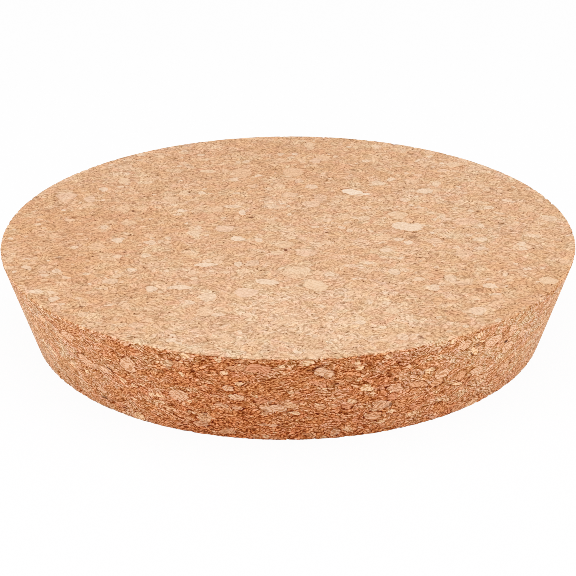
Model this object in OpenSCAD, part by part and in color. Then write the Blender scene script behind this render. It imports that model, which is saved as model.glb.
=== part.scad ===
// Tapered stopper turned from one block of pressed cork granules. It stands on its narrow end, the foot.

/* [Body] */
// Diameter of the wide top, measured to the sharp corner before it is eased
top_diameter = 130; // [118:1:200]
// Diameter of the narrow foot, measured to the sharp corner before it is eased
foot_diameter = 116; // [40:1:128]
// Height from the foot to the top face
height = 22; // [10:0.5:60]

/* [Edges] */
// Radius that eases the edge between the top face and the wall
rim_radius = 0.4; // [0.1:0.1:3]
// Radius that eases the edge between the foot and the wall
foot_radius = 0.5; // [0.1:0.1:3]

/* [Finish] */
// Colour of the pressed cork
cork_colour = "#DBAF88"; // ["#DBAF88":Light, "#C68E63":Medium, "#8A5A3C":Dark]

/* [Hidden] */
// Smoothness of the turned faces
$fn = 180;
// How far the wall leans outwards from upright
taper_angle = atan((top_diameter - foot_diameter) / 2 / height);

// Distance from the axis to the sharp, uneased wall at height z
function wall_radius(z) = (foot_diameter + (top_diameter - foot_diameter) * z / height) / 2;

// Centre of an edge radius r that lies at height z and touches the wall from inside
function edge_centre(r, z) = [wall_radius(z) - r / cos(taper_angle), z];

// Point where an edge radius r about centre runs into the wall
function wall_touch(r, centre) = centre + r * [cos(taper_angle), -sin(taper_angle)];

// Half of the section, from the axis outwards: straight faces, with a true arc at each edge
module half_section() {
    rim_centre = edge_centre(rim_radius, height - rim_radius);
    foot_centre = edge_centre(foot_radius, foot_radius);
    polygon([
        [0, 0],
        [foot_centre.x, 0],
        wall_touch(foot_radius, foot_centre),
        wall_touch(rim_radius, rim_centre),
        [rim_centre.x, height],
        [0, height],
    ]);
    translate(rim_centre) circle(r = rim_radius);
    translate(foot_centre) circle(r = foot_radius);
}

module stopper() {
    color(cork_colour) rotate_extrude() half_section();
}

stopper();
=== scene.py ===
# Cork stopper: a tapered body cut from a block of pressed cork granules, standing on its foot.
import bisect
import math
import random
import bmesh
import bpy
from mathutils import Euler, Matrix, Vector, kdtree, noise


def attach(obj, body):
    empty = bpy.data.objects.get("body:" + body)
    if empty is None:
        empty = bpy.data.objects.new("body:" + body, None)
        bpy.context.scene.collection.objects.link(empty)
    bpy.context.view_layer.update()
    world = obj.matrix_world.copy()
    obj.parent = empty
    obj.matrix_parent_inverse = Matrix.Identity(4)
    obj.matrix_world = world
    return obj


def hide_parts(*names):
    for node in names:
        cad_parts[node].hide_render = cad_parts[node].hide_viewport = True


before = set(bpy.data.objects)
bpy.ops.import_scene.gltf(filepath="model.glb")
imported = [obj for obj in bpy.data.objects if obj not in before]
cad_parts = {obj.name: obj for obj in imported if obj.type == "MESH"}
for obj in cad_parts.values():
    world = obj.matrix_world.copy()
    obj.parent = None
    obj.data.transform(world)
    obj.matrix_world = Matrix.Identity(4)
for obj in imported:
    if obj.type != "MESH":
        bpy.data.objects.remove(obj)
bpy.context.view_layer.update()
mm = 0.001

body = {
    "around": 1024,         # points round the rim
    "wallRings": 36,        # rings of points up the wall
    "edgeSteps": 4,         # faces across each eased edge
    "topGrid": 192,         # squares across the top
    "footGrid": 64,         # squares across the foot
    "bandRings": 3,         # fine rings on the flats, just inside each edge
    "bandStep": 0.42 * mm,  # how far apart those rings are
    "gridGap": 1.4,         # and how far inside them the grid begins, in the same steps
}

relief = {
    "seed": 11,                           # of the noise, which would change at each run without one
    "wallGrain": 0.055 * mm,              # depth of the sawn wall's roughness
    "flatGrain": 0.018 * mm,              # depth of the sanded flats' roughness
    "wallSeam": 0.13 * mm,                # depth of the seams between granules on the wall
    "flatSeam": 0.02 * mm,                # and on the flats
    "granule": 1.35 * mm,                 # width of a granule, as the seams show it
    "flatten": 1.6,                       # granules lie flat: how much wider than tall they are
    "wander": 0.35,                       # how far the seams wander, as a share of a granule
    "seamWidth": 0.26,                    # how wide they are, as a share of a granule
    "seamShade": 0.25,                    # how much painted shade they put on the wall, where a pit is 1
    "wallReach": (0.05 * mm, 0.35 * mm),  # how far inside the wall its roughness fades out, from and to
    "edgeReach": (0.1 * mm, 0.9 * mm),    # how far from an edge bites are taken, from and to
    "edgeChip": 0.24 * mm,                # deepest bite out of the rim and the foot
    "bite": 1.1 * mm,                     # size of the larger bites
    "nibble": 0.5 * mm,                   # and of the smaller ones among them
}

pits = {
    "seed": 11,
    "wall": (420, 0.45 * mm, 1.0 * mm, 0.16 * mm, 0.5 * mm),  # how many, radius from, to, depth from, to
    "top": (90, 0.4 * mm, 0.8 * mm, 0.1 * mm, 0.28 * mm),
    "foot": (70, 0.5 * mm, 1.0 * mm, 0.12 * mm, 0.35 * mm),
    "bottom": 0.25,           # how much of a pit's radius is its flat bottom
    "ragged": 0.35,           # how far its edge wanders, as a share of its radius
    "raggedSize": 0.45 * mm,  # and over what distance
    "reach": 1.2 * mm,        # nothing farther than this from its middle is lowered
}


def measureSolid():
    # the solid's section: its flats' radii and the straight wall between the two eased edges
    corners = sorted({(round(v.co.z, 6), round(math.hypot(v.co.x, v.co.y), 6))
                      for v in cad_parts["stopper"].data.vertices})
    height = corners[-1][0]
    footFlat = max(r for z, r in corners if z < 1e-6)
    topFlat = max(r for z, r in corners if z > height - 1e-6)
    outline = [(z, r) for z, r in corners if r >= footFlat]
    low, high = max(zip(outline, outline[1:]), key=lambda pair: pair[1][0] - pair[0][0])
    lean = (high[1] - low[1]) / (high[0] - low[0])
    return {
        "height": height,
        "lean": lean,
        "footCorner": low[1] - lean * low[0],
        "topCorner": high[1] + lean * (height - high[0]),
        "footFlat": footFlat,
        "topFlat": topFlat,
        "outline": outline,
    }


def widestAt(solid, z):
    # the solid's own radius at a height
    outline = solid["outline"]
    i = min(max(bisect.bisect(outline, (z, 0)), 1), len(outline) - 1)
    (lowZ, lowR), (highZ, highR) = outline[i - 1], outline[i]
    share = min(1.0, max(0.0, (z - lowZ) / max(highZ - lowZ, 1e-9)))
    return lowR + (highR - lowR) * share


def roundGrid(bm, squares, radius, height, facesUp):
    # a square grid pressed into a disc, so that its squares stay about even
    made = bmesh.ops.create_grid(bm, x_segments=squares, y_segments=squares, size=1.0)
    for point in made["verts"]:
        x, y = point.co.x, point.co.y
        reach = max(abs(x), abs(y))
        if reach < 1e-9:
            spot = Vector((0, 0))
        elif abs(x) >= abs(y):
            spot = Vector((math.cos(math.pi / 4 * y / x), math.sin(math.pi / 4 * y / x))) * x
        else:
            spot = Vector((math.sin(math.pi / 4 * x / y), math.cos(math.pi / 4 * x / y))) * y
        point.co = (spot.x * radius, spot.y * radius, height)
    # dictionaries, because a set would give them in another order at each run
    faces = list(dict.fromkeys(f for v in made["verts"] for f in v.link_faces))
    if not facesUp:
        bmesh.ops.reverse_faces(bm, faces=faces)
    return [e for e in dict.fromkeys(e for f in faces for e in f.edges) if e.is_boundary]


def paveFlat(bm, height, radius, squares, facesUp):
    # fine rings inside the edge, then an even grid in place of the cone's one many-sided face
    cap = max((f for f in bm.faces if len(f.verts) > 8 and abs(f.calc_center_median().z - height) < 1e-5),
              key=lambda f: f.calc_area())
    for ring in range(body["bandRings"]):
        bmesh.ops.inset_region(bm, faces=[cap], thickness=body["bandStep"], use_even_offset=True)
    outer = list(cap.edges)
    bmesh.ops.delete(bm, geom=[cap], context="FACES_ONLY")
    gridRadius = radius - (body["bandRings"] + body["gridGap"]) * body["bandStep"]
    inner = roundGrid(bm, squares, gridRadius, height, facesUp)
    bmesh.ops.bridge_loops(bm, edges=outer + inner)


def buildBody(solid):
    bm = bmesh.new()
    bmesh.ops.create_cone(bm, cap_ends=True, segments=body["around"], radius1=solid["footCorner"],
                          radius2=solid["topCorner"], depth=solid["height"])
    bmesh.ops.translate(bm, vec=(0, 0, solid["height"] / 2), verts=bm.verts)
    for height, ease in ((solid["height"], solid["topCorner"] - solid["topFlat"]),
                         (0, solid["footCorner"] - solid["footFlat"])):
        loop = [e for e in bm.edges if all(abs(v.co.z - height) < 1e-6 for v in e.verts)]
        bmesh.ops.bevel(bm, geom=loop, offset=ease, offset_type="OFFSET", segments=body["edgeSteps"],
                        profile=0.5, affect="EDGES", material=-1, clamp_overlap=False)
    uprights = [e for e in bm.edges if abs(e.verts[0].co.z - e.verts[1].co.z) > solid["height"] / 2]
    bmesh.ops.subdivide_edges(bm, edges=uprights, cuts=body["wallRings"], use_grid_fill=True)
    paveFlat(bm, solid["height"], solid["topFlat"], body["topGrid"], True)
    paveFlat(bm, 0, solid["footFlat"], body["footGrid"], False)
    bmesh.ops.remove_doubles(bm, verts=bm.verts, dist=1e-7)
    bmesh.ops.recalc_face_normals(bm, faces=bm.faces)
    bm.normal_update()
    # bevel leaves its faces in another order at each run, so they are put in the order of their corners
    bm.verts.index_update()
    bm.faces.sort(key=lambda face: face.verts[0].index * len(bm.verts) + face.verts[2].index)
    print("body paved:", len(bm.faces), "faces")
    return bm


def scatterPits(solid):
    # seeded places of the small holes, each with a radius and a depth
    dice = random.Random(pits["seed"])
    found = []
    for place in ("wall", "top", "foot"):
        count, thin, wide, shallow, deep = pits[place]
        for _ in range(count):
            turn = dice.uniform(0, math.tau)
            if place == "wall":
                z = dice.uniform(0, solid["height"])
                r = solid["footCorner"] + solid["lean"] * z
            else:
                z = solid["height"] if place == "top" else 0
                r = math.sqrt(dice.random()) * solid["topFlat" if place == "top" else "footFlat"]
            share = dice.random() ** 2
            spot = Vector((r * math.cos(turn), r * math.sin(turn), z))
            found.append((spot, thin + (wide - thin) * share, shallow + (deep - shallow) * share))
    return found


def smooth(low, high, value):
    t = min(1.0, max(0.0, (value - low) / (high - low)))
    return t * t * (3 - 2 * t)


def reliefAt(point, wallShare, nearEdge):
    # how far a point lies below the plain surface, and how much of that is a seam
    cell = Vector((point.x, point.y, point.z * relief["flatten"])) / relief["granule"]
    near, _ = noise.voronoi(cell + relief["wander"] * noise.noise_vector(cell * 0.9))
    seam = 1 - smooth(0.0, relief["seamWidth"], near[1] - near[0])
    grain = min(1.0, max(0.0, 0.5 + 0.5 * noise.fractal(cell * 1.7, 0.8, 2.1, 3)))
    depth = seam * (relief["flatSeam"] + (relief["wallSeam"] - relief["flatSeam"]) * wallShare)
    depth += grain * (relief["flatGrain"] + (relief["wallGrain"] - relief["flatGrain"]) * wallShare)
    if nearEdge > 0:
        bites = noise.noise(point / relief["bite"]) + 0.5 * noise.noise(point / relief["nibble"])
        depth += smooth(0.1, 0.75, bites) * nearEdge * relief["edgeChip"]
    return depth, seam


def carveRelief(bm, solid):
    wallShareLayer = bm.verts.layers.float.new("wallShare")
    # painted shade, darker in the pits and along the wall's seams, kept for the material
    paintedRecessShadeLayer = bm.verts.layers.float.new("paintedRecessShade")
    noise.seed_set(relief["seed"])
    holes = scatterPits(solid)
    tree = kdtree.KDTree(len(holes))
    for i, hole in enumerate(holes):
        tree.insert(hole[0], i)
    tree.balance()
    height = solid["height"]
    for v in bm.verts:
        point = v.co.copy()
        fromWall = solid["footCorner"] + solid["lean"] * point.z - math.hypot(point.x, point.y)
        fromFlat = min(point.z, height - point.z)
        wallShare = 1 - smooth(*relief["wallReach"], fromWall)
        nearEdge = 1 - smooth(*relief["edgeReach"], math.hypot(max(fromWall, 0), max(fromFlat, 0)))
        depth, seam = reliefAt(point, wallShare, nearEdge)
        # painted shade: the colour is darkened along the wall's seams, and in each pit below
        dark = seam * relief["seamShade"] * wallShare
        for _, i, gap in tree.find_range(point, pits["reach"]):
            _, wide, deep = holes[i]
            ragged = gap * (1 + pits["ragged"] * noise.noise(point / pits["raggedSize"]))
            fall = 1 - smooth(pits["bottom"] * wide, wide, ragged)
            depth += fall * deep
            dark = max(dark, fall)
        v[wallShareLayer] = wallShare
        v[paintedRecessShadeLayer] = dark
        x, y, z = point - v.normal * depth
        z = min(max(z, 0), height)
        pull = min(1.0, widestAt(solid, z) / max(math.hypot(x, y), 1e-9))  # never outside the solid
        v.co = (x * pull, y * pull, z)
    print("relief carved,", len(holes), "pits")


def makeCorkBody(solid):
    bm = buildBody(solid)
    carveRelief(bm, solid)
    mesh = bpy.data.meshes.new("corkBody")
    bm.to_mesh(mesh)
    bm.free()
    mesh.shade_smooth()
    piece = bpy.data.objects.new("corkBody", mesh)
    bpy.context.scene.collection.objects.link(piece)
    return piece


cork = {
    "flatten": 1.6,               # crumbs and chips lie flat: how much wider than tall they are
    "crumb": 0.95,                # mm, width of the crumbs that fill between the chips
    "crumbSeam": (0.02, 0.2),     # where the dark seam round a crumb starts and ends to fade, in its widths
    "fineCrumb": 0.56,            # and the same for the finest crumbs
    "fineSeam": (0.0, 0.24),
    "speck": (0.86, 0.9),         # draws, out of 1, past which a fine crumb holds a dark speck
    "lineGap": 0.8,               # mm between the growth lines of a granule
    "lineWaver": 12.0,            # how far the lines waver, in radians
    "granules": (                 # width in mm, share of them that are clean, where the pattern starts
        (1.7, 0.10, (3, 8, 1)),
        (2.7, 0.09, (7, 2, 9)),
        (4.3, 0.05, (21, 4, 5)),
    ),
    "tints": {                    # how much a tint differs from granule to granule, and the least it can be
        "paler": (2.6, -0.9),
        "cooler": (1.2, -1.0),
        "pinker": (2.0, -1.5),
    },
    "bigSway": (0.4, 1.2, 0.0),   # the whole pattern sways: how often to the mm, how many mm, how finely
    "smallSway": (1.1, 0.7, 2.0),
    "chipSway": (0.6, 0.6, 0.3),  # how much of that the listed chips follow
    "chipFacet": 1.1,             # mm between the corners that break a chip's round edge
    "chipPull": 0.4,              # and how far it is pulled to them
    "overhang": (-1.6, 0.85),     # mm that the flats' crumbs hang over the rim: spread, and start
    "rimFade": 0.35,              # mm over which one surface gives way to the other
    "front": (1.1, 1.3),          # radians from the front, either way, where the listed chips end
    "extra": 1.7,                 # past that, how many times more granules are clean
    "scorch": 0.5,                # how much a fleck of bark darkens the crumbs that show through it
    "bump": (0.15, 0.05),         # strength of the crumbs' relief, and of a clean chip's
    "bumpDepth": 0.1 * mm,
    "roughness": (0.8, 0.65),     # of the crumbs, and of a clean chip
}

corkFinish = {
    "Specular IOR Level": 0.05,
    "Specular Tint": (1, 0.8, 0.6, 1),
    "Sheen Weight": 0.25,
    "Sheen Roughness": 0.38,
    "Sheen Tint": (1, 0.9, 0.76, 1),
}

# the looks of the flats and of the wall: colours are on the 0 to 255 scale, and the notes hold for both
flatLook = {
    # how much each part of the grain lightens the tone
    "grain": {"crumb": 0.22, "fine": 0.27, "seam": -0.24, "fineSeam": -0.27, "line": 0.25, "speck": -1.2},
    "base": 0.01,                   # tone before the grain
    "tones": (                      # from the darkest seam to the lightest crumb
        (-1.6, (110, 54, 14)), (-0.8, (160, 112, 71)), (-0.3, (195, 150, 113)),
        (0.0, (218, 174, 137)), (0.4, (236, 194, 157)), (1.0, (248, 216, 181)),
    ),
    "paler": (0.025, 0.07, 0.115),  # what one step of a tint adds to red, green and blue
    "pinker": (0.004, -0.013, 0.01),
    "cooler": (-0.022, 0.0, 0.02),
    "lightest": (255, 232, 206),    # nothing gets lighter than this
    "rim": 0.15,                    # how dark the seam round a chip is
    "outline": -0.08,               # and round a granule
    "clear": 0.93,                  # how clear the chips are, at the most
    "calm": 0.0,                    # painted sheen: how much calmer the crumbs are where the patches make them paler
    "streaks": (0.05, 0.07, 0.1),   # how much growth lines change a chip's red, green and blue
    "bark": (114, 54, 14),          # colour of the dark flecks
    "chips": {                      # and of the clean chips
        "tan": (228, 188, 153), "pink": (231, 196, 169), "pale": (230, 197, 164),
        "cream": (232, 205, 179), "white": (236, 214, 192),
    },
    "paintedLightAndTonePatches": (                    # broad patches: middle, reach, how much paler; on the top they are painted light at the front and painted shade towards the back and sides
        ((0, -50, 22), 44, 1.7), ((0, 50, 22), 50, -1.2), ((-50, 4, 22), 44, -1.7),
        ((50, -36, 22), 32, -1.6), ((-46, -34, 22), 30, -1.2),
    ),
}

wallLook = {
    "grain": {"crumb": 0.47, "fine": 0.43, "seam": -0.97, "fineSeam": -0.51, "line": 0.59, "speck": -0.5},
    "base": 0.34,
    "tones": (
        (-2.0, (92, 14, 0)), (-1.2, (132, 51, 2)), (-0.6, (168, 94, 39)),
        (0.0, (204, 132, 85)), (0.6, (239, 167, 122)), (1.3, (255, 200, 156)),
    ),
    "paler": (0.015, 0.118, 0.25),
    "pinker": (0.005, -0.017, 0.018),
    "cooler": (-0.017, 0.002, 0.022),
    "lightest": (255, 214, 174),
    "rim": 0.9,
    "outline": -0.4,
    "clear": 0.98,
    "calm": 0.085,
    "streaks": (0.22, 0.34, 0.46),
    "bark": (80, 27, 2),
    "chips": {
        "tan": (224, 166, 124), "pink": (221, 153, 115), "pale": (231, 184, 149), "cream": (248, 211, 171),
    },
    # painted light paling the wall's front and sides, as a sheen would, and painted shade low in front near
    # the floor; the two behind are the block's own broad tone
    "paintedLightAndTonePatches": (
        ((62, -24, 8), 58, 4.8), ((38, -50, 14), 30, 2.9), ((-62, -30, 8), 63, 4.4),
        ((0, -62, 12), 28, 0.5), ((38, -44, -6), 27, -2.8), ((-10, -58, -6), 26, -1.1),
        ((25, 60, 5), 40, 2.2), ((-45, 45, 14), 34, 1.0),
    ),
}

# clean chips that stand out on the top: x, y, length and width in mm, turn in degrees, colour, how clear
topChips = (
    (26.3, 3.1, 4.8, 4.4, -20, "cream", 0.95), (28.5, 2.0, 4.6, 4.2, -20, "cream", 0.95),
    (15.3, 24.8, 4.5, 3.5, -20, "white", 0.98), (18.0, 23.6, 3.4, 1.6, -20, "white", 1.0),
    (25.8, 10.2, 4.2, 3.6, 0, "pale", 0.7), (25.7, 7.8, 2.4, 1.8, 0, "pale", 0.6),
    (33.0, 25.0, 3.6, 3.4, 0, "cream", 0.8), (35.8, 25.5, 2.4, 2.0, 0, "pale", 0.45),
    (5.7, 28.4, 3.2, 3.0, 0, "cream", 0.65), (2.8, 32.2, 2.0, 2.6, 0, "pink", 0.6),
    (1.3, 38.3, 5.2, 6.2, 0, "tan", 0.7), (7.0, 46.3, 2.4, 3.6, 0, "pink", 0.6),
    (5.7, 57.3, 2.4, 6.0, 0, "pale", 0.5), (41.3, 43.2, 3.0, 3.2, 0, "pale", 0.7),
    (38.5, 38.8, 2.6, 2.6, 0, "pink", 0.6), (32.0, 35.8, 1.8, 1.8, 0, "pink", 0.5),
    (36.0, 52.0, 2.6, 3.2, 0, "pink", 0.4), (46.0, 17.3, 4.0, 2.0, -20, "pale", 0.6),
    (52.5, 18.2, 3.4, 1.5, -20, "cream", 0.65), (31.0, 14.3, 2.5, 1.2, 0, "cream", 0.65),
    (18.5, 14.6, 2.6, 2.0, 0, "cream", 0.5), (12.2, 2.3, 2.0, 1.5, -20, "cream", 0.7),
    (14.0, 0.4, 1.4, 2.0, 0, "cream", 0.6), (6.3, 2.9, 1.8, 2.2, 0, "cream", 0.55),
    (36.7, 7.2, 2.2, 2.0, 0, "pink", 0.7), (41.0, 5.5, 6.0, 4.2, 0, "pink", 0.4),
    (7.8, 21.0, 3.4, 4.6, 0, "pink", 0.45), (5.5, 17.0, 4.2, 4.0, 0, "pink", 0.55),
    (0.5, 23.0, 3.6, 3.6, 0, "pink", 0.45), (-3.8, 16.0, 3.2, 2.4, 0, "cream", 0.45),
    (-19.8, 39.2, 3.8, 2.2, 0, "pale", 0.85), (-28.0, 39.8, 4.6, 2.6, 0, "pale", 0.5),
    (-39.7, 33.0, 3.0, 4.0, 0, "pale", 0.7), (-44.5, 27.3, 1.8, 3.0, 0, "cream", 0.8),
    (-25.0, 24.8, 2.4, 3.2, 0, "pale", 0.6), (-28.0, 20.0, 4.0, 5.0, 0, "tan", 0.5),
    (-53.0, 23.0, 4.6, 4.4, 0, "pink", 0.55), (-47.0, 21.0, 2.4, 4.0, 0, "pink", 0.6),
    (-11.5, 38.0, 5.0, 6.0, 0, "tan", 0.55), (-8.3, 29.0, 3.0, 2.2, 0, "pink", 0.4),
    (-13.0, 15.8, 4.2, 2.0, 0, "cream", 0.6), (-10.6, 12.0, 1.8, 3.4, 0, "cream", 0.85),
    (-14.5, 2.2, 4.6, 3.4, 0, "pink", 0.7), (-21.0, 0.8, 3.4, 2.6, 0, "pale", 0.5),
    (-36.5, 5.8, 3.6, 3.0, 0, "pale", 0.5), (-3.8, 6.5, 2.4, 3.6, 0, "pale", 0.45),
    (-11.3, -3.8, 3.4, 2.8, -20, "cream", 0.95), (-6.6, -4.5, 2.0, 2.6, 0, "cream", 0.75),
    (0.8, -3.5, 2.0, 2.0, 0, "pale", 0.7), (-31.2, -6.0, 3.0, 2.6, 0, "cream", 0.65),
    (-0.8, -7.5, 4.6, 4.0, 0, "pale", 0.6), (-2.5, -12.0, 3.0, 2.4, 0, "pale", 0.7),
    (4.0, -12.0, 5.0, 4.0, 0, "pink", 0.55), (-17.8, -18.6, 5.0, 2.0, 0, "cream", 0.95),
    (-10.9, -18.2, 1.8, 2.8, 0, "cream", 0.75), (-7.7, -18.0, 3.0, 3.4, 0, "cream", 0.45),
    (1.8, -22.8, 6.0, 6.6, 0, "pale", 0.55), (-4.6, -27.8, 5.0, 2.8, -20, "cream", 0.85),
    (-8.9, -33.3, 5.0, 4.6, 0, "pink", 0.85), (-23.0, -30.4, 5.2, 2.2, 0, "cream", 0.8),
    (-29.0, -31.2, 2.4, 2.4, 0, "cream", 0.75), (-38.0, -27.0, 3.4, 2.8, 0, "cream", 0.5),
    (-49.2, -36.0, 2.4, 2.8, 0, "cream", 0.75), (-57.0, -19.5, 3.6, 1.4, -60, "cream", 0.6),
    (-17.3, -42.5, 3.0, 4.4, 0, "pale", 0.5), (-14.5, -44.2, 3.0, 1.6, 0, "cream", 0.65),
    (-31.0, -49.0, 3.2, 2.6, 0, "pink", 0.45), (1.7, -61.6, 2.1, 1.4, -20, "cream", 0.9),
    (5.8, -29.8, 6.4, 4.4, -60, "pale", 0.85), (21.8, -11.0, 2.4, 2.0, 0, "cream", 0.65),
    (27.0, -6.6, 1.8, 2.0, 0, "cream", 0.9), (33.0, -6.0, 4.0, 3.0, 0, "pink", 0.5),
    (39.0, -13.0, 4.0, 4.0, 0, "pink", 0.45), (43.0, -10.5, 3.4, 1.6, 0, "cream", 0.5),
    (13.5, -19.5, 3.0, 2.2, 0, "cream", 0.5), (23.0, -23.0, 2.4, 3.4, 0, "cream", 0.7),
    (31.0, -31.2, 2.4, 3.2, 0, "cream", 0.7), (42.8, -30.5, 3.4, 2.6, -20, "cream", 0.75),
    (43.5, -35.0, 2.4, 1.4, 0, "cream", 0.7), (55.6, -28.0, 4.0, 3.8, 0, "pale", 0.85),
    (21.5, -42.7, 2.8, 3.0, 0, "pale", 0.75), (36.7, -43.5, 2.4, 2.0, 0, "pale", 0.6),
    (22.8, -55.0, 2.4, 3.0, 0, "cream", 0.5), (37.0, -29.0, 5.0, 2.0, -20, "pink", 0.45),
)

# and on the wall: turn from the front in degrees, height, then as on the top
sideChips = (
    (-5.3, 19.3, 5.0, 2.2, 0, "pink", 0.95), (-9.5, 19.2, 3.4, 1.4, 0, "tan", 0.6),
    (6.3, 18.2, 3.8, 2.2, -20, "pale", 1.0), (12.7, 18.5, 1.9, 0.6, 0, "cream", 1.0),
    (-9.0, 15.2, 2.0, 1.3, 20, "cream", 0.7), (-11.0, 13.6, 2.5, 1.7, -20, "pale", 0.85),
    (-9.7, 11.3, 2.9, 1.6, 0, "pale", 0.9), (-2.8, 8.9, 5.0, 1.9, 0, "pale", 1.0),
    (0.7, 7.6, 2.5, 1.1, 0, "cream", 0.9), (-3.6, 4.3, 4.8, 0.9, 0, "pale", 0.75),
    (-5.2, 10.9, 3.0, 1.6, 0, "pink", 0.6), (-3.2, 10.8, 2.4, 0.8, 20, "pale", 0.6),
    (14.7, 13.0, 2.1, 1.6, -20, "cream", 0.9), (20.4, 11.8, 3.6, 1.9, 0, "pale", 0.7),
    (20.2, 9.3, 2.0, 1.6, 0, "pink", 0.8), (5.6, 15.2, 3.4, 1.2, -20, "pink", 0.7),
    (-12.8, 9.0, 2.5, 1.2, 0, "pale", 0.7), (-9.8, 8.3, 2.2, 0.9, 0, "pale", 0.6),
    (16.3, 4.9, 3.0, 1.5, 0, "pale", 0.65), (9.3, 2.0, 1.8, 1.8, 0, "pale", 0.75),
    (-17.7, 3.0, 3.4, 1.4, 0, "pale", 0.55), (1.5, 10.7, 2.6, 0.8, 0, "pink", 0.65),
    (-8.0, 21.2, 4.0, 0.9, 0, "tan", 0.5), (11.0, 8.9, 2.5, 1.8, 0, "pink", 0.5),
    (17.5, 8.6, 3.0, 0.9, 0, "pale", 0.6), (-12.4, 21.2, 1.3, 0.9, 0, "cream", 0.7),
    (-46.0, 17.2, 4.8, 2.0, 0, "pale", 0.9), (-31.1, 15.4, 3.4, 3.6, 0, "pale", 0.85),
    (-42.6, 11.9, 5.6, 2.4, -20, "pale", 0.85), (-38.5, 11.7, 5.2, 1.4, 0, "pale", 0.8),
    (-21.2, 10.1, 4.2, 2.8, 0, "pale", 0.8), (-31.0, 9.8, 2.2, 1.0, 0, "cream", 0.7),
    (-26.2, 8.7, 3.8, 0.7, 0, "cream", 0.85), (-36.0, 13.3, 2.2, 1.2, -20, "pale", 0.7),
    (-41.0, 5.0, 2.4, 1.6, 0, "pale", 0.65), (-32.0, 1.1, 2.4, 1.6, 0, "cream", 0.8),
    (-51.5, 19.0, 2.6, 1.2, 0, "pink", 0.6), (-36.5, 2.7, 3.0, 1.6, 0, "pink", 0.5),
    (-20.5, 18.6, 3.0, 1.8, 0, "tan", 0.6), (-30.5, 21.2, 2.6, 1.0, 0, "pale", 0.7),
    (33.9, 19.1, 3.0, 2.4, 0, "pale", 0.9), (36.8, 16.3, 2.6, 1.6, -60, "cream", 0.9),
    (38.0, 18.5, 1.7, 0.8, 0, "cream", 0.8), (41.6, 17.3, 5.4, 2.6, 0, "pale", 0.85),
    (47.0, 17.6, 3.0, 3.0, 0, "pale", 0.8), (27.0, 14.6, 2.6, 1.2, 0, "cream", 0.8),
    (27.0, 20.4, 2.7, 1.0, 0, "pale", 0.7), (30.0, 12.8, 3.4, 2.4, 0, "pale", 1.0),
    (29.4, 10.6, 3.2, 1.8, 0, "tan", 0.8), (35.2, 10.8, 2.8, 2.4, 0, "tan", 0.85),
    (25.2, 11.6, 4.4, 1.8, -20, "tan", 0.75), (34.3, 8.8, 3.8, 0.8, -20, "cream", 1.0),
    (39.4, 10.4, 3.6, 2.0, 0, "pale", 0.8), (47.4, 13.1, 3.8, 2.6, 0, "pale", 0.85),
    (51.6, 14.8, 3.0, 2.4, 0, "pale", 0.7), (49.0, 7.5, 4.0, 2.0, 0, "pale", 0.6),
    (18.4, 7.4, 4.0, 1.8, 0, "pale", 0.7), (17.0, 5.0, 2.8, 2.4, 0, "tan", 0.75),
    (42.0, 7.6, 4.6, 0.9, 0, "pale", 0.6), (43.6, 19.2, 3.0, 1.2, 0, "pink", 0.55),
    (25.7, 5.3, 3.0, 1.6, 0, "pink", 0.6), (60.5, 18.3, 3.0, 2.4, 0, "pale", 0.75),
    (53.6, 14.5, 3.0, 1.0, 0, "pale", 0.6),
)

# dark flecks of outer bark: place, length, width, turn, how dark
topFlecks = (
    (-8.5, 8.7, 1.5, 1.1, -20, 2.4), (28.2, -3.5, 2.4, 2.2, 0, 1.1), (-0.5, -10.7, 0.9, 1.5, 0, 2.6),
    (16.2, 40.0, 1.9, 1.1, 0, 1.3), (49.0, 26.2, 2.4, 0.9, -60, 1.3), (-36.2, 13.0, 0.8, 1.1, 0, 1.6),
    (-55.3, 20.0, 1.1, 0.9, 0, 1.5), (-50.2, -14.4, 2.4, 1.6, -20, 1.0),
    (-36.2, -11.3, 1.1, 1.0, 0, 1.3), (2.7, -30.0, 1.2, 1.2, 0, 1.2), (32.4, -43.0, 1.0, 1.1, 0, 1.5),
    (26.6, -55.3, 2.2, 0.8, -60, 1.6), (48.0, -43.8, 1.7, 0.7, -60, 1.6),
    (17.5, -8.3, 1.2, 0.9, 0, 1.1), (40.2, -32.6, 2.2, 1.8, -20, 0.9), (22.5, -32.8, 1.1, 0.9, 0, 1.0),
    (-43.0, -40.0, 1.4, 1.0, 0, 1.3), (-18.8, -50.3, 1.0, 1.2, 0, 1.0),
)
sideFlecks = (
    (45.9, 15.2, 1.4, 0.9, 0, 2.6), (47.8, 17.3, 1.6, 0.6, 0, 1.5), (36.3, 15.9, 1.6, 0.6, -60, 1.8),
    (37.2, 17.9, 1.6, 1.0, -20, 1.3), (20.0, 7.5, 0.9, 1.3, 0, 1.6), (20.0, 14.2, 0.8, 1.1, 0, 1.5),
    (-41.0, 3.1, 2.4, 0.9, 0, 1.7), (-36.4, 12.5, 2.1, 0.7, -20, 1.5), (-43.0, 13.8, 1.5, 0.7, 0, 1.2),
    (5.6, 20.0, 3.4, 0.9, 20, 1.1), (3.9, 18.9, 2.2, 1.0, 0, 1.0), (8.6, 15.0, 1.6, 0.8, -20, 1.2),
)


def linear(rgb):
    # a colour written on the 0 to 255 scale, as the shader wants it
    return tuple(c / 12.92 if c <= 0.04045 else ((c + 0.055) / 1.055) ** 2.4 for c in (v / 255 for v in rgb))


def plug(tree, value, socket):
    if isinstance(value, bpy.types.NodeSocket):
        tree.links.new(value, socket)
    else:
        socket.default_value = value


def addNode(tree, kind, inputs=(), **settings):
    node = tree.nodes.new("ShaderNode" + kind)
    for name, value in settings.items():
        setattr(node, name, value)
    for key, value in dict(inputs).items():
        plug(tree, value, node.inputs[key])
    return node


def calc(tree, operation, *values):
    return addNode(tree, "Math", enumerate(values), operation=operation).outputs[0]


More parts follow.
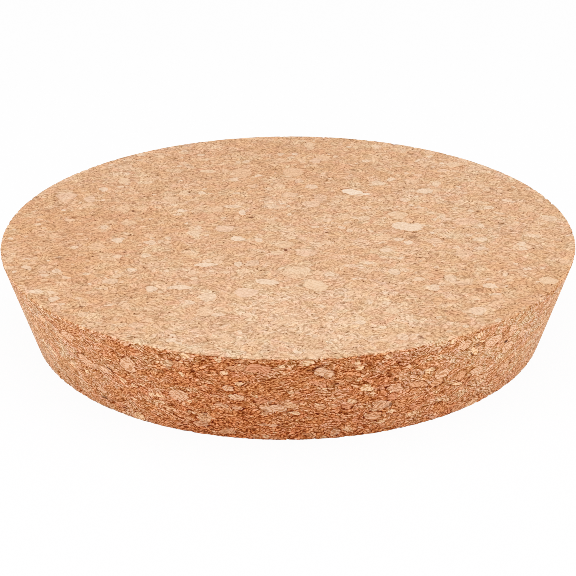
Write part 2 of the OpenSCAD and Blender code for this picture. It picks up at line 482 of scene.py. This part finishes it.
def calcVector(tree, operation, *values):
    return addNode(tree, "VectorMath", enumerate(values), operation=operation).outputs[0]


def fade(tree, value, low, high, toLow=0.0, toHigh=1.0, kind="SMOOTHSTEP"):
    ends = {0: value, 1: low, 2: high, 3: toLow, 4: toHigh}
    return addNode(tree, "MapRange", ends, interpolation_type=kind).outputs[0]


def blendNumber(tree, share, a, b):
    return addNode(tree, "Mix", {0: share, 2: a, 3: b}, data_type="FLOAT").outputs[0]


def blendColour(tree, share, a, b):
    return addNode(tree, "Mix", {0: share, 4: a, 5: b}, data_type="VECTOR").outputs[1]


def noiseAt(tree, place, scale, detail=2.0, output=0):
    return addNode(tree, "TexNoise", {"Vector": place, "Scale": scale, "Detail": detail}).outputs[output]


def sway(tree, place, scale, reach, detail):
    # the pattern is looked up a little off its place, so that its edges wander
    drift = calcVector(tree, "SUBTRACT", noiseAt(tree, place, scale, detail, 1), (0.5, 0.5, 0.5))
    return calcVector(tree, "MULTIPLY_ADD", drift, (reach, reach, reach), place)


def cellsAt(tree, place, width):
    # a cell's random colour, three random numbers, distance to its middle, and distance to its edge
    shared = {"Vector": place, "Scale": 1 / width}
    middle = addNode(tree, "TexVoronoi", shared, feature="F1").outputs
    edge = addNode(tree, "TexVoronoi", shared, feature="DISTANCE_TO_EDGE").outputs
    dice = addNode(tree, "SeparateColor", {0: middle["Color"]}).outputs
    return {"colour": middle["Color"], "dice": dice, "middle": middle["Distance"], "edge": edge["Distance"]}


def allThree(tree, number):
    return addNode(tree, "CombineXYZ", {0: number, 1: number, 2: number}).outputs[0]


def toneRamp(tree, tone, stops):
    # a tone's colour: the ramp runs from the first stop's tone to the last one's
    lowest, highest = stops[0][0], stops[-1][0]
    ramp = addNode(tree, "ValToRGB", {0: fade(tree, tone, lowest, highest, kind="LINEAR")})
    bar = ramp.color_ramp.elements
    while len(bar) < len(stops):
        bar.new(0.5)
    for mark, (at, colour) in zip(bar, stops):
        mark.position = (at - lowest) / (highest - lowest)
        mark.color = (*linear(colour), 1)
    return ramp.outputs[0]


def crumbGrain(tree, place, stripe):
    # packed crumbs, each a little lighter or darker than the next, with dark seams, cracks and specks
    crumb = cellsAt(tree, place, cork["crumb"])
    fine = cellsAt(tree, calcVector(tree, "ADD", place, (3.1, 1.7, 5.3)), cork["fineCrumb"])
    speck = calc(tree, "MULTIPLY", fade(tree, fine["dice"][1], *cork["speck"]),
                 fade(tree, fine["middle"], 0.2, 0.45, 1.0, 0.0))
    return {
        "crumb": crumb["dice"][0],
        "fine": fine["dice"][0],
        "seam": fade(tree, crumb["edge"], *cork["crumbSeam"], 1.0, 0.0),
        "fineSeam": fade(tree, fine["edge"], *cork["fineSeam"], 1.0, 0.0),
        "line": stripe,
        "speck": speck,
    }, crumb["dice"]


def grainTone(tree, look, field):
    # how light or dark the crumbs are, by each look's own shares
    # the painted shade of the pits and seams darkens the tone
    tone = calc(tree, "SUBTRACT", look["base"], field["paintedRecessShade"])
    for part, share in look["grain"].items():
        tone = calc(tree, "MULTIPLY_ADD", field["grain"][part], share, tone)
    for layer in field["layers"]:
        tone = calc(tree, "MULTIPLY_ADD", layer["outline"], look["outline"], tone)
    return tone


def growthLines(tree, place, cellColour):
    # fine lines through each granule, running their own way in each one
    way = calcVector(tree, "MULTIPLY_ADD", cellColour, (3.0, 3.0, 0.0), (-1.5, -1.5, 1.0))
    way = addNode(tree, "VectorMath", {0: way}, operation="NORMALIZE").outputs[0]
    along = addNode(tree, "VectorMath", {0: place, 1: way}, operation="DOT_PRODUCT").outputs["Value"]
    waver = calc(tree, "MULTIPLY", noiseAt(tree, place, 0.8), cork["lineWaver"])
    wave = calc(tree, "SINE", calc(tree, "MULTIPLY_ADD", along, math.tau / cork["lineGap"], waver))
    return fade(tree, wave, -1.0, 0.3, -1.3, 0.5)  # thin dark lines between wide pale ones


def granuleLayer(tree, place, width, share, drift, room):
    # larger pieces of bark: each has its own colour, and a few are clean, without crumbs
    cell = cellsAt(tree, calcVector(tree, "ADD", place, drift), width)
    dice = cell["dice"]
    rarest = calc(tree, "MULTIPLY_ADD", room, -share, 1.0)
    chosen = calc(tree, "GREATER_THAN", dice[0], rarest)
    inside = calc(tree, "MULTIPLY", fade(tree, cell["edge"], 0.02, 0.07),
                  fade(tree, cell["middle"], 0.4, 0.46, 1.0, 0.0))
    solidity = fade(tree, dice[2], 0.0, 1.0, 0.45, 0.95, "LINEAR")
    mask = calc(tree, "MULTIPLY", calc(tree, "MULTIPLY", chosen, inside), solidity)
    outline = calc(tree, "MULTIPLY", chosen, fade(tree, cell["edge"], 0.0, 0.08, 1.0, 0.0))
    return {"mask": mask, "outline": outline, "dice": dice, "colour": cell["colour"]}


def spread(tree, layers, crumbDice, channel, amount, least):
    # a number that wanders from granule to granule, at every size of granule
    total = calc(tree, "MULTIPLY_ADD", crumbDice[channel], 0.3, -0.15)
    for layer in layers:
        total = calc(tree, "ADD", total, calc(tree, "SUBTRACT", layer["dice"][channel], 0.5))
    return calc(tree, "MAXIMUM", calc(tree, "MULTIPLY", total, amount), least)


def paintedLightAndToneDrift(tree, look, place):
    # how much paler, or deeper, each broad patch makes the colour: painted light and shade, and some broad
    # tone of the block
    total = None
    for middle, reach, amount in look["paintedLightAndTonePatches"]:
        gap = addNode(tree, "VectorMath", {0: place, 1: middle}, operation="DISTANCE").outputs["Value"]
        part = fade(tree, gap, 0.0, reach, amount, 0.0)
        total = calc(tree, "ADD", total, part) if total else part
    return total


def turnedMap(tree, maps, turn):
    # the flat map turned by some degrees, which is made once and shared
    if turn not in maps:
        spin = {"Vector": maps[0], "Angle": math.radians(-turn)}
        maps[turn] = addNode(tree, "VectorRotate", spin, rotation_type="Z_AXIS").outputs[0]
    return maps[turn]


def spotReach(tree, maps, x, y, long, wide, turn):
    # an ellipse on the flat map: 0 at its middle and 1 at its edge
    angle = math.radians(-turn)
    midX = x * math.cos(angle) - y * math.sin(angle)
    midY = x * math.sin(angle) + y * math.cos(angle)
    scale = (2 / long, 2 / wide, 0)
    offset = (-midX * scale[0], -midY * scale[1], 0)
    local = calcVector(tree, "MULTIPLY_ADD", turnedMap(tree, maps, turn), scale, offset)
    return addNode(tree, "VectorMath", {0: local}, operation="LENGTH").outputs["Value"]


def layChips(tree, laidMap, chips, most):
    # one mask for each kind of chip, and how near the nearest chip is
    maps, masks, nearest = {0: laidMap}, {}, None
    for *spot, kind, clear in chips:
        reach = spotReach(tree, maps, *spot)
        mask = fade(tree, reach, 0.95, 1.1, min(0.95, most * clear), 0.0, "LINEAR")
        masks[kind] = calc(tree, "MAXIMUM", masks[kind], mask) if kind in masks else mask
        nearest = calc(tree, "MINIMUM", nearest, reach) if nearest else reach
    return masks, nearest


def layFlecks(tree, laidMap, flecks):
    # one mask for all the flecks, which fade out from their middles
    maps, dark = {0: laidMap}, None
    for *spot, depth in flecks:
        mask = fade(tree, spotReach(tree, maps, *spot), 0.5, 1.1, min(1.0, 0.36 * depth), 0.0, "LINEAR")
        dark = calc(tree, "MAXIMUM", dark, mask) if dark else mask
    return dark


def angular(tree, place, bend):
    # the map that the chips are laid on, pulled towards the middles of small cells: it breaks round edges
    place = calcVector(tree, "ADD", place, calcVector(tree, "MULTIPLY", bend, cork["chipSway"]))
    cells = addNode(tree, "TexVoronoi", {"Vector": place, "Scale": 1 / cork["chipFacet"]}, feature="F1")
    return blendColour(tree, cork["chipPull"], place, cells.outputs["Position"])


def tinted(tree, colour, amount, step):
    # the colour, with so many steps of a tint
    tint = calcVector(tree, "MULTIPLY_ADD", allThree(tree, amount), step, (1, 1, 1))
    return calcVector(tree, "MULTIPLY", colour, tint)


def dressSurface(tree, look, field, laidMap, chips, flecks):
    # the colour of one surface, and how much of it is clean chip
    bark = layFlecks(tree, laidMap, flecks)
    masks, nearest = layChips(tree, angular(tree, laidMap, field["bend"]), chips, look["clear"])
    # a dark line just outside each chip
    rim = calc(tree, "MULTIPLY", fade(tree, nearest, 1.0, 1.1), fade(tree, nearest, 1.15, 1.35, 1.0, 0.0))
    # painted light and shade: the patches pale or deepen the colour, and calm the crumbs where they pale it
    drift = paintedLightAndToneDrift(tree, look, field["place"])
    tone = calc(tree, "MULTIPLY_ADD", rim, -look["rim"], grainTone(tree, look, field))
    tone = calc(tree, "MULTIPLY", tone, calc(tree, "MULTIPLY_ADD", drift, -look["calm"], 1.0))
    tone = calc(tree, "MULTIPLY_ADD", bark, -cork["scorch"], tone)
    colour = tinted(tree, toneRamp(tree, tone, look["tones"]), drift, look["paler"])
    for effect in ("paler", "pinker", "cooler"):
        colour = tinted(tree, colour, field[effect], look[effect])
    streaks = calcVector(tree, "MULTIPLY_ADD", allThree(tree, field["lines"]), look["streaks"], (1, 1, 1))
    hues = {kind: linear(hue) for kind, hue in look["chips"].items()}
    clean = None
    for layer in field["layers"]:
        hue = blendColour(tree, fade(tree, layer["dice"][1], 0.2, 1.0), hues["tan"], hues["cream"])
        colour = blendColour(tree, layer["mask"], colour, calcVector(tree, "MULTIPLY", hue, streaks))
        clean = calc(tree, "MAXIMUM", clean, layer["mask"]) if clean else layer["mask"]
    for kind, mask in masks.items():
        colour = blendColour(tree, mask, colour, calcVector(tree, "MULTIPLY", streaks, hues[kind]))
        clean = calc(tree, "MAXIMUM", clean, mask)
    colour = blendColour(tree, bark, colour, linear(look["bark"]))
    return calcVector(tree, "MINIMUM", colour, linear(look["lightest"])), clean


def wallMap(tree, place, axes, turn):
    # the wall unrolled: arc from the front in mm, and height
    flat = calcVector(tree, "MULTIPLY", place, (1, 1, 0))
    radius = addNode(tree, "VectorMath", {0: flat}, operation="LENGTH").outputs["Value"]
    return addNode(tree, "CombineXYZ", {0: calc(tree, "MULTIPLY", turn, radius), 1: axes[2]}).outputs[0]


def onWall(solid, rows):
    # the wall's places are given in degrees, and the map wants the arc at that height
    lean = math.radians(1) * solid["lean"]
    foot = math.radians(1) * solid["footCorner"] / mm
    return [(turn * (foot + lean * z), z, *rest) for turn, z, *rest in rows]


def makeCork(solid):
    material = bpy.data.materials.new("pressedCork")
    material.use_nodes = True
    tree = material.node_tree
    shader = tree.nodes["Principled BSDF"]
    here = addNode(tree, "TexCoord").outputs["Object"]
    place = calcVector(tree, "MULTIPLY", here, (1000, 1000, 1000))
    laid = calcVector(tree, "MULTIPLY", place, (1, 1, cork["flatten"]))
    byShape = addNode(tree, "Attribute", attribute_name="wallShare").outputs["Fac"]
    axes = addNode(tree, "SeparateXYZ", {0: place}).outputs
    turn = calc(tree, "ARCTAN2", axes[0], calc(tree, "MULTIPLY", axes[1], -1.0))

    # where no chips are listed, behind and underneath, the pattern makes more of its own
    behind = fade(tree, calc(tree, "ABSOLUTE", turn), *cork["front"])
    room = calc(tree, "MAXIMUM", calc(tree, "MULTIPLY", behind, byShape), fade(tree, axes[2], 1.0, 0.5))
    room = fade(tree, room, 0.0, 1.0, 1.0, cork["extra"], "LINEAR")

    swayed = sway(tree, sway(tree, laid, *cork["bigSway"]), *cork["smallSway"])
    bend = calcVector(tree, "SUBTRACT", swayed, laid)
    # crumbs of the flats hang a little over the rim, so that the two surfaces meet raggedly
    fromRim = calc(tree, "SUBTRACT", solid["height"] / mm, axes[2])
    ragged = calc(tree, "MULTIPLY_ADD", noiseAt(tree, laid, 0.9), *cork["overhang"])
    underRim = fade(tree, calc(tree, "ADD", fromRim, ragged), 0.0, cork["rimFade"])
    wallShare = calc(tree, "MULTIPLY", byShape, underRim)
    layers = [granuleLayer(tree, swayed, *granule, room) for granule in cork["granules"]]
    lines = growthLines(tree, swayed, layers[1]["colour"])
    grain, dice = crumbGrain(tree, swayed, lines)
    field = {
        "grain": grain,
        "paintedRecessShade": addNode(tree, "Attribute", attribute_name="paintedRecessShade").outputs["Fac"],
        "lines": lines,
        "layers": layers,
        "place": place,
        "bend": bend,
    }
    for channel, (tint, (amount, least)) in enumerate(cork["tints"].items()):
        field[tint] = spread(tree, layers, dice, channel, amount, least)
    top, topClean = dressSurface(tree, flatLook, field, place, topChips, topFlecks)
    wallPlace = wallMap(tree, place, axes, turn)
    wallSpots = onWall(solid, sideChips), onWall(solid, sideFlecks)
    wall, wallClean = dressSurface(tree, wallLook, field, wallPlace, *wallSpots)
    plug(tree, blendColour(tree, wallShare, top, wall), shader.inputs["Base Color"])

    clean = blendNumber(tree, wallShare, topClean, wallClean)
    hollow = calc(tree, "MAXIMUM", grain["seam"], grain["fineSeam"])
    strength = blendNumber(tree, clean, *cork["bump"])
    bump = addNode(tree, "Bump", {"Strength": strength, "Distance": -cork["bumpDepth"], "Height": hollow})
    plug(tree, bump.outputs[0], shader.inputs["Normal"])
    plug(tree, fade(tree, clean, 0.0, 1.0, *cork["roughness"], "LINEAR"), shader.inputs["Roughness"])
    for name, value in corkFinish.items():
        shader.inputs[name].default_value = value
    print("pressed cork made:", len(tree.nodes), "nodes")
    return material


studio = {
    "eye": Vector((-0.03, -384.04, 181.54)) * mm,
    "aim": Vector((-0.03, 0, 7.92)) * mm,
    "roll": -0.318,      # degrees
    "lens": 114.07,      # mm, for the frame width below
    "frameWidth": 36,
    "sky": 0.5,          # brightness of the surroundings as the object sees them
    "lamps": {           # place and width in metres, power in watts
        "overhead": ((0, -0.08, 0.6), 0.6, 1.95),
        "left": ((-0.55, -0.14, 0.16), 0.36, 1.42),
        "right": ((0.55, -0.14, 0.16), 0.36, 1.38),
        "front": ((0, -0.75, 0.1), 0.4, 0.87),
    },
    "floorReach": 3.0,   # metres from the middle to each side
    "floorTone": 0.82,   # how much light the floor throws back
    "floorShade": 0.05,  # how much of the real shadow the white floor shows
}


def softBox(name, place, width, power):
    lamp = bpy.data.lights.new(name, "AREA")
    lamp.shape = "SQUARE"
    lamp.size = width
    lamp.energy = power
    holder = bpy.data.objects.new(name, lamp)
    holder.location = place
    holder.rotation_euler = (-Vector(place)).to_track_quat("-Z", "Y").to_euler()  # aimed at the object
    bpy.context.scene.collection.objects.link(holder)


def seenDirectly(tree):
    # 1 for what the camera sees straight, in a gloss or through glass
    path = addNode(tree, "LightPath").outputs
    seen = calc(tree, "MAXIMUM", path["Is Camera Ray"], path["Is Glossy Ray"])
    return calc(tree, "MAXIMUM", seen, path["Is Transmission Ray"])


def makeSky():
    world = bpy.data.worlds.new("studio")
    world.use_nodes = True
    tree = world.node_tree
    tree.nodes.clear()
    glow = addNode(tree, "Background", {"Color": (1, 1, 1, 1), "Strength": studio["sky"]}).outputs[0]
    white = addNode(tree, "Background", {"Color": (1, 1, 1, 1), "Strength": 1.0}).outputs[0]
    sky = addNode(tree, "MixShader", {0: seenDirectly(tree), 1: glow, 2: white}).outputs[0]
    addNode(tree, "OutputWorld", {"Surface": sky})
    bpy.context.scene.world = world


def makeFloor():
    material = bpy.data.materials.new("floorWhite")
    material.use_nodes = True
    tree = material.node_tree
    tree.nodes.clear()
    tone = studio["floorTone"]
    paint = addNode(tree, "BsdfDiffuse", {"Color": (tone, tone, tone, 1)}).outputs[0]
    white = addNode(tree, "Emission", {"Color": (1, 1, 1, 1), "Strength": 1.0}).outputs[0]
    shown = addNode(tree, "MixShader", {0: 1 - studio["floorShade"], 1: paint, 2: white}).outputs[0]
    surface = addNode(tree, "MixShader", {0: seenDirectly(tree), 1: paint, 2: shown}).outputs[0]
    addNode(tree, "OutputMaterial", {"Surface": surface})
    bm = bmesh.new()
    bmesh.ops.create_grid(bm, x_segments=1, y_segments=1, size=studio["floorReach"])
    mesh = bpy.data.meshes.new("floor")
    bm.to_mesh(mesh)
    bm.free()
    mesh.materials.append(material)
    floor = bpy.data.objects.new("floor", mesh)
    bpy.context.scene.collection.objects.link(floor)


def makeCamera():
    lens = bpy.data.cameras.new("camera")
    lens.lens = studio["lens"]
    lens.sensor_width = studio["frameWidth"]
    lens.clip_start = 0.01
    lens.clip_end = 20
    camera = bpy.data.objects.new("camera", lens)
    camera.location = studio["eye"]
    look = (studio["aim"] - studio["eye"]).to_track_quat("-Z", "Y")
    camera.rotation_euler = (look @ Euler((0, 0, math.radians(studio["roll"]))).to_quaternion()).to_euler()
    bpy.context.scene.collection.objects.link(camera)
    bpy.context.scene.camera = camera


solid = measureSolid()
makeCamera()
makeSky()
makeFloor()
for name, lamp in studio["lamps"].items():
    softBox(name, *lamp)
print("studio set:", len(studio["lamps"]), "soft lamps")

corkBody = makeCorkBody(solid)
corkBody.data.materials.append(makeCork(solid))
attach(corkBody, "root")
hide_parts("stopper")
print("cork body made:", len(corkBody.data.polygons), "faces")

scene = bpy.context.scene
scene.view_settings.view_transform = "Standard"
scene.cycles.use_denoising = False  # the fine crumbs are real detail, so nothing smooths them
scene.cycles.filter_width = 0.7
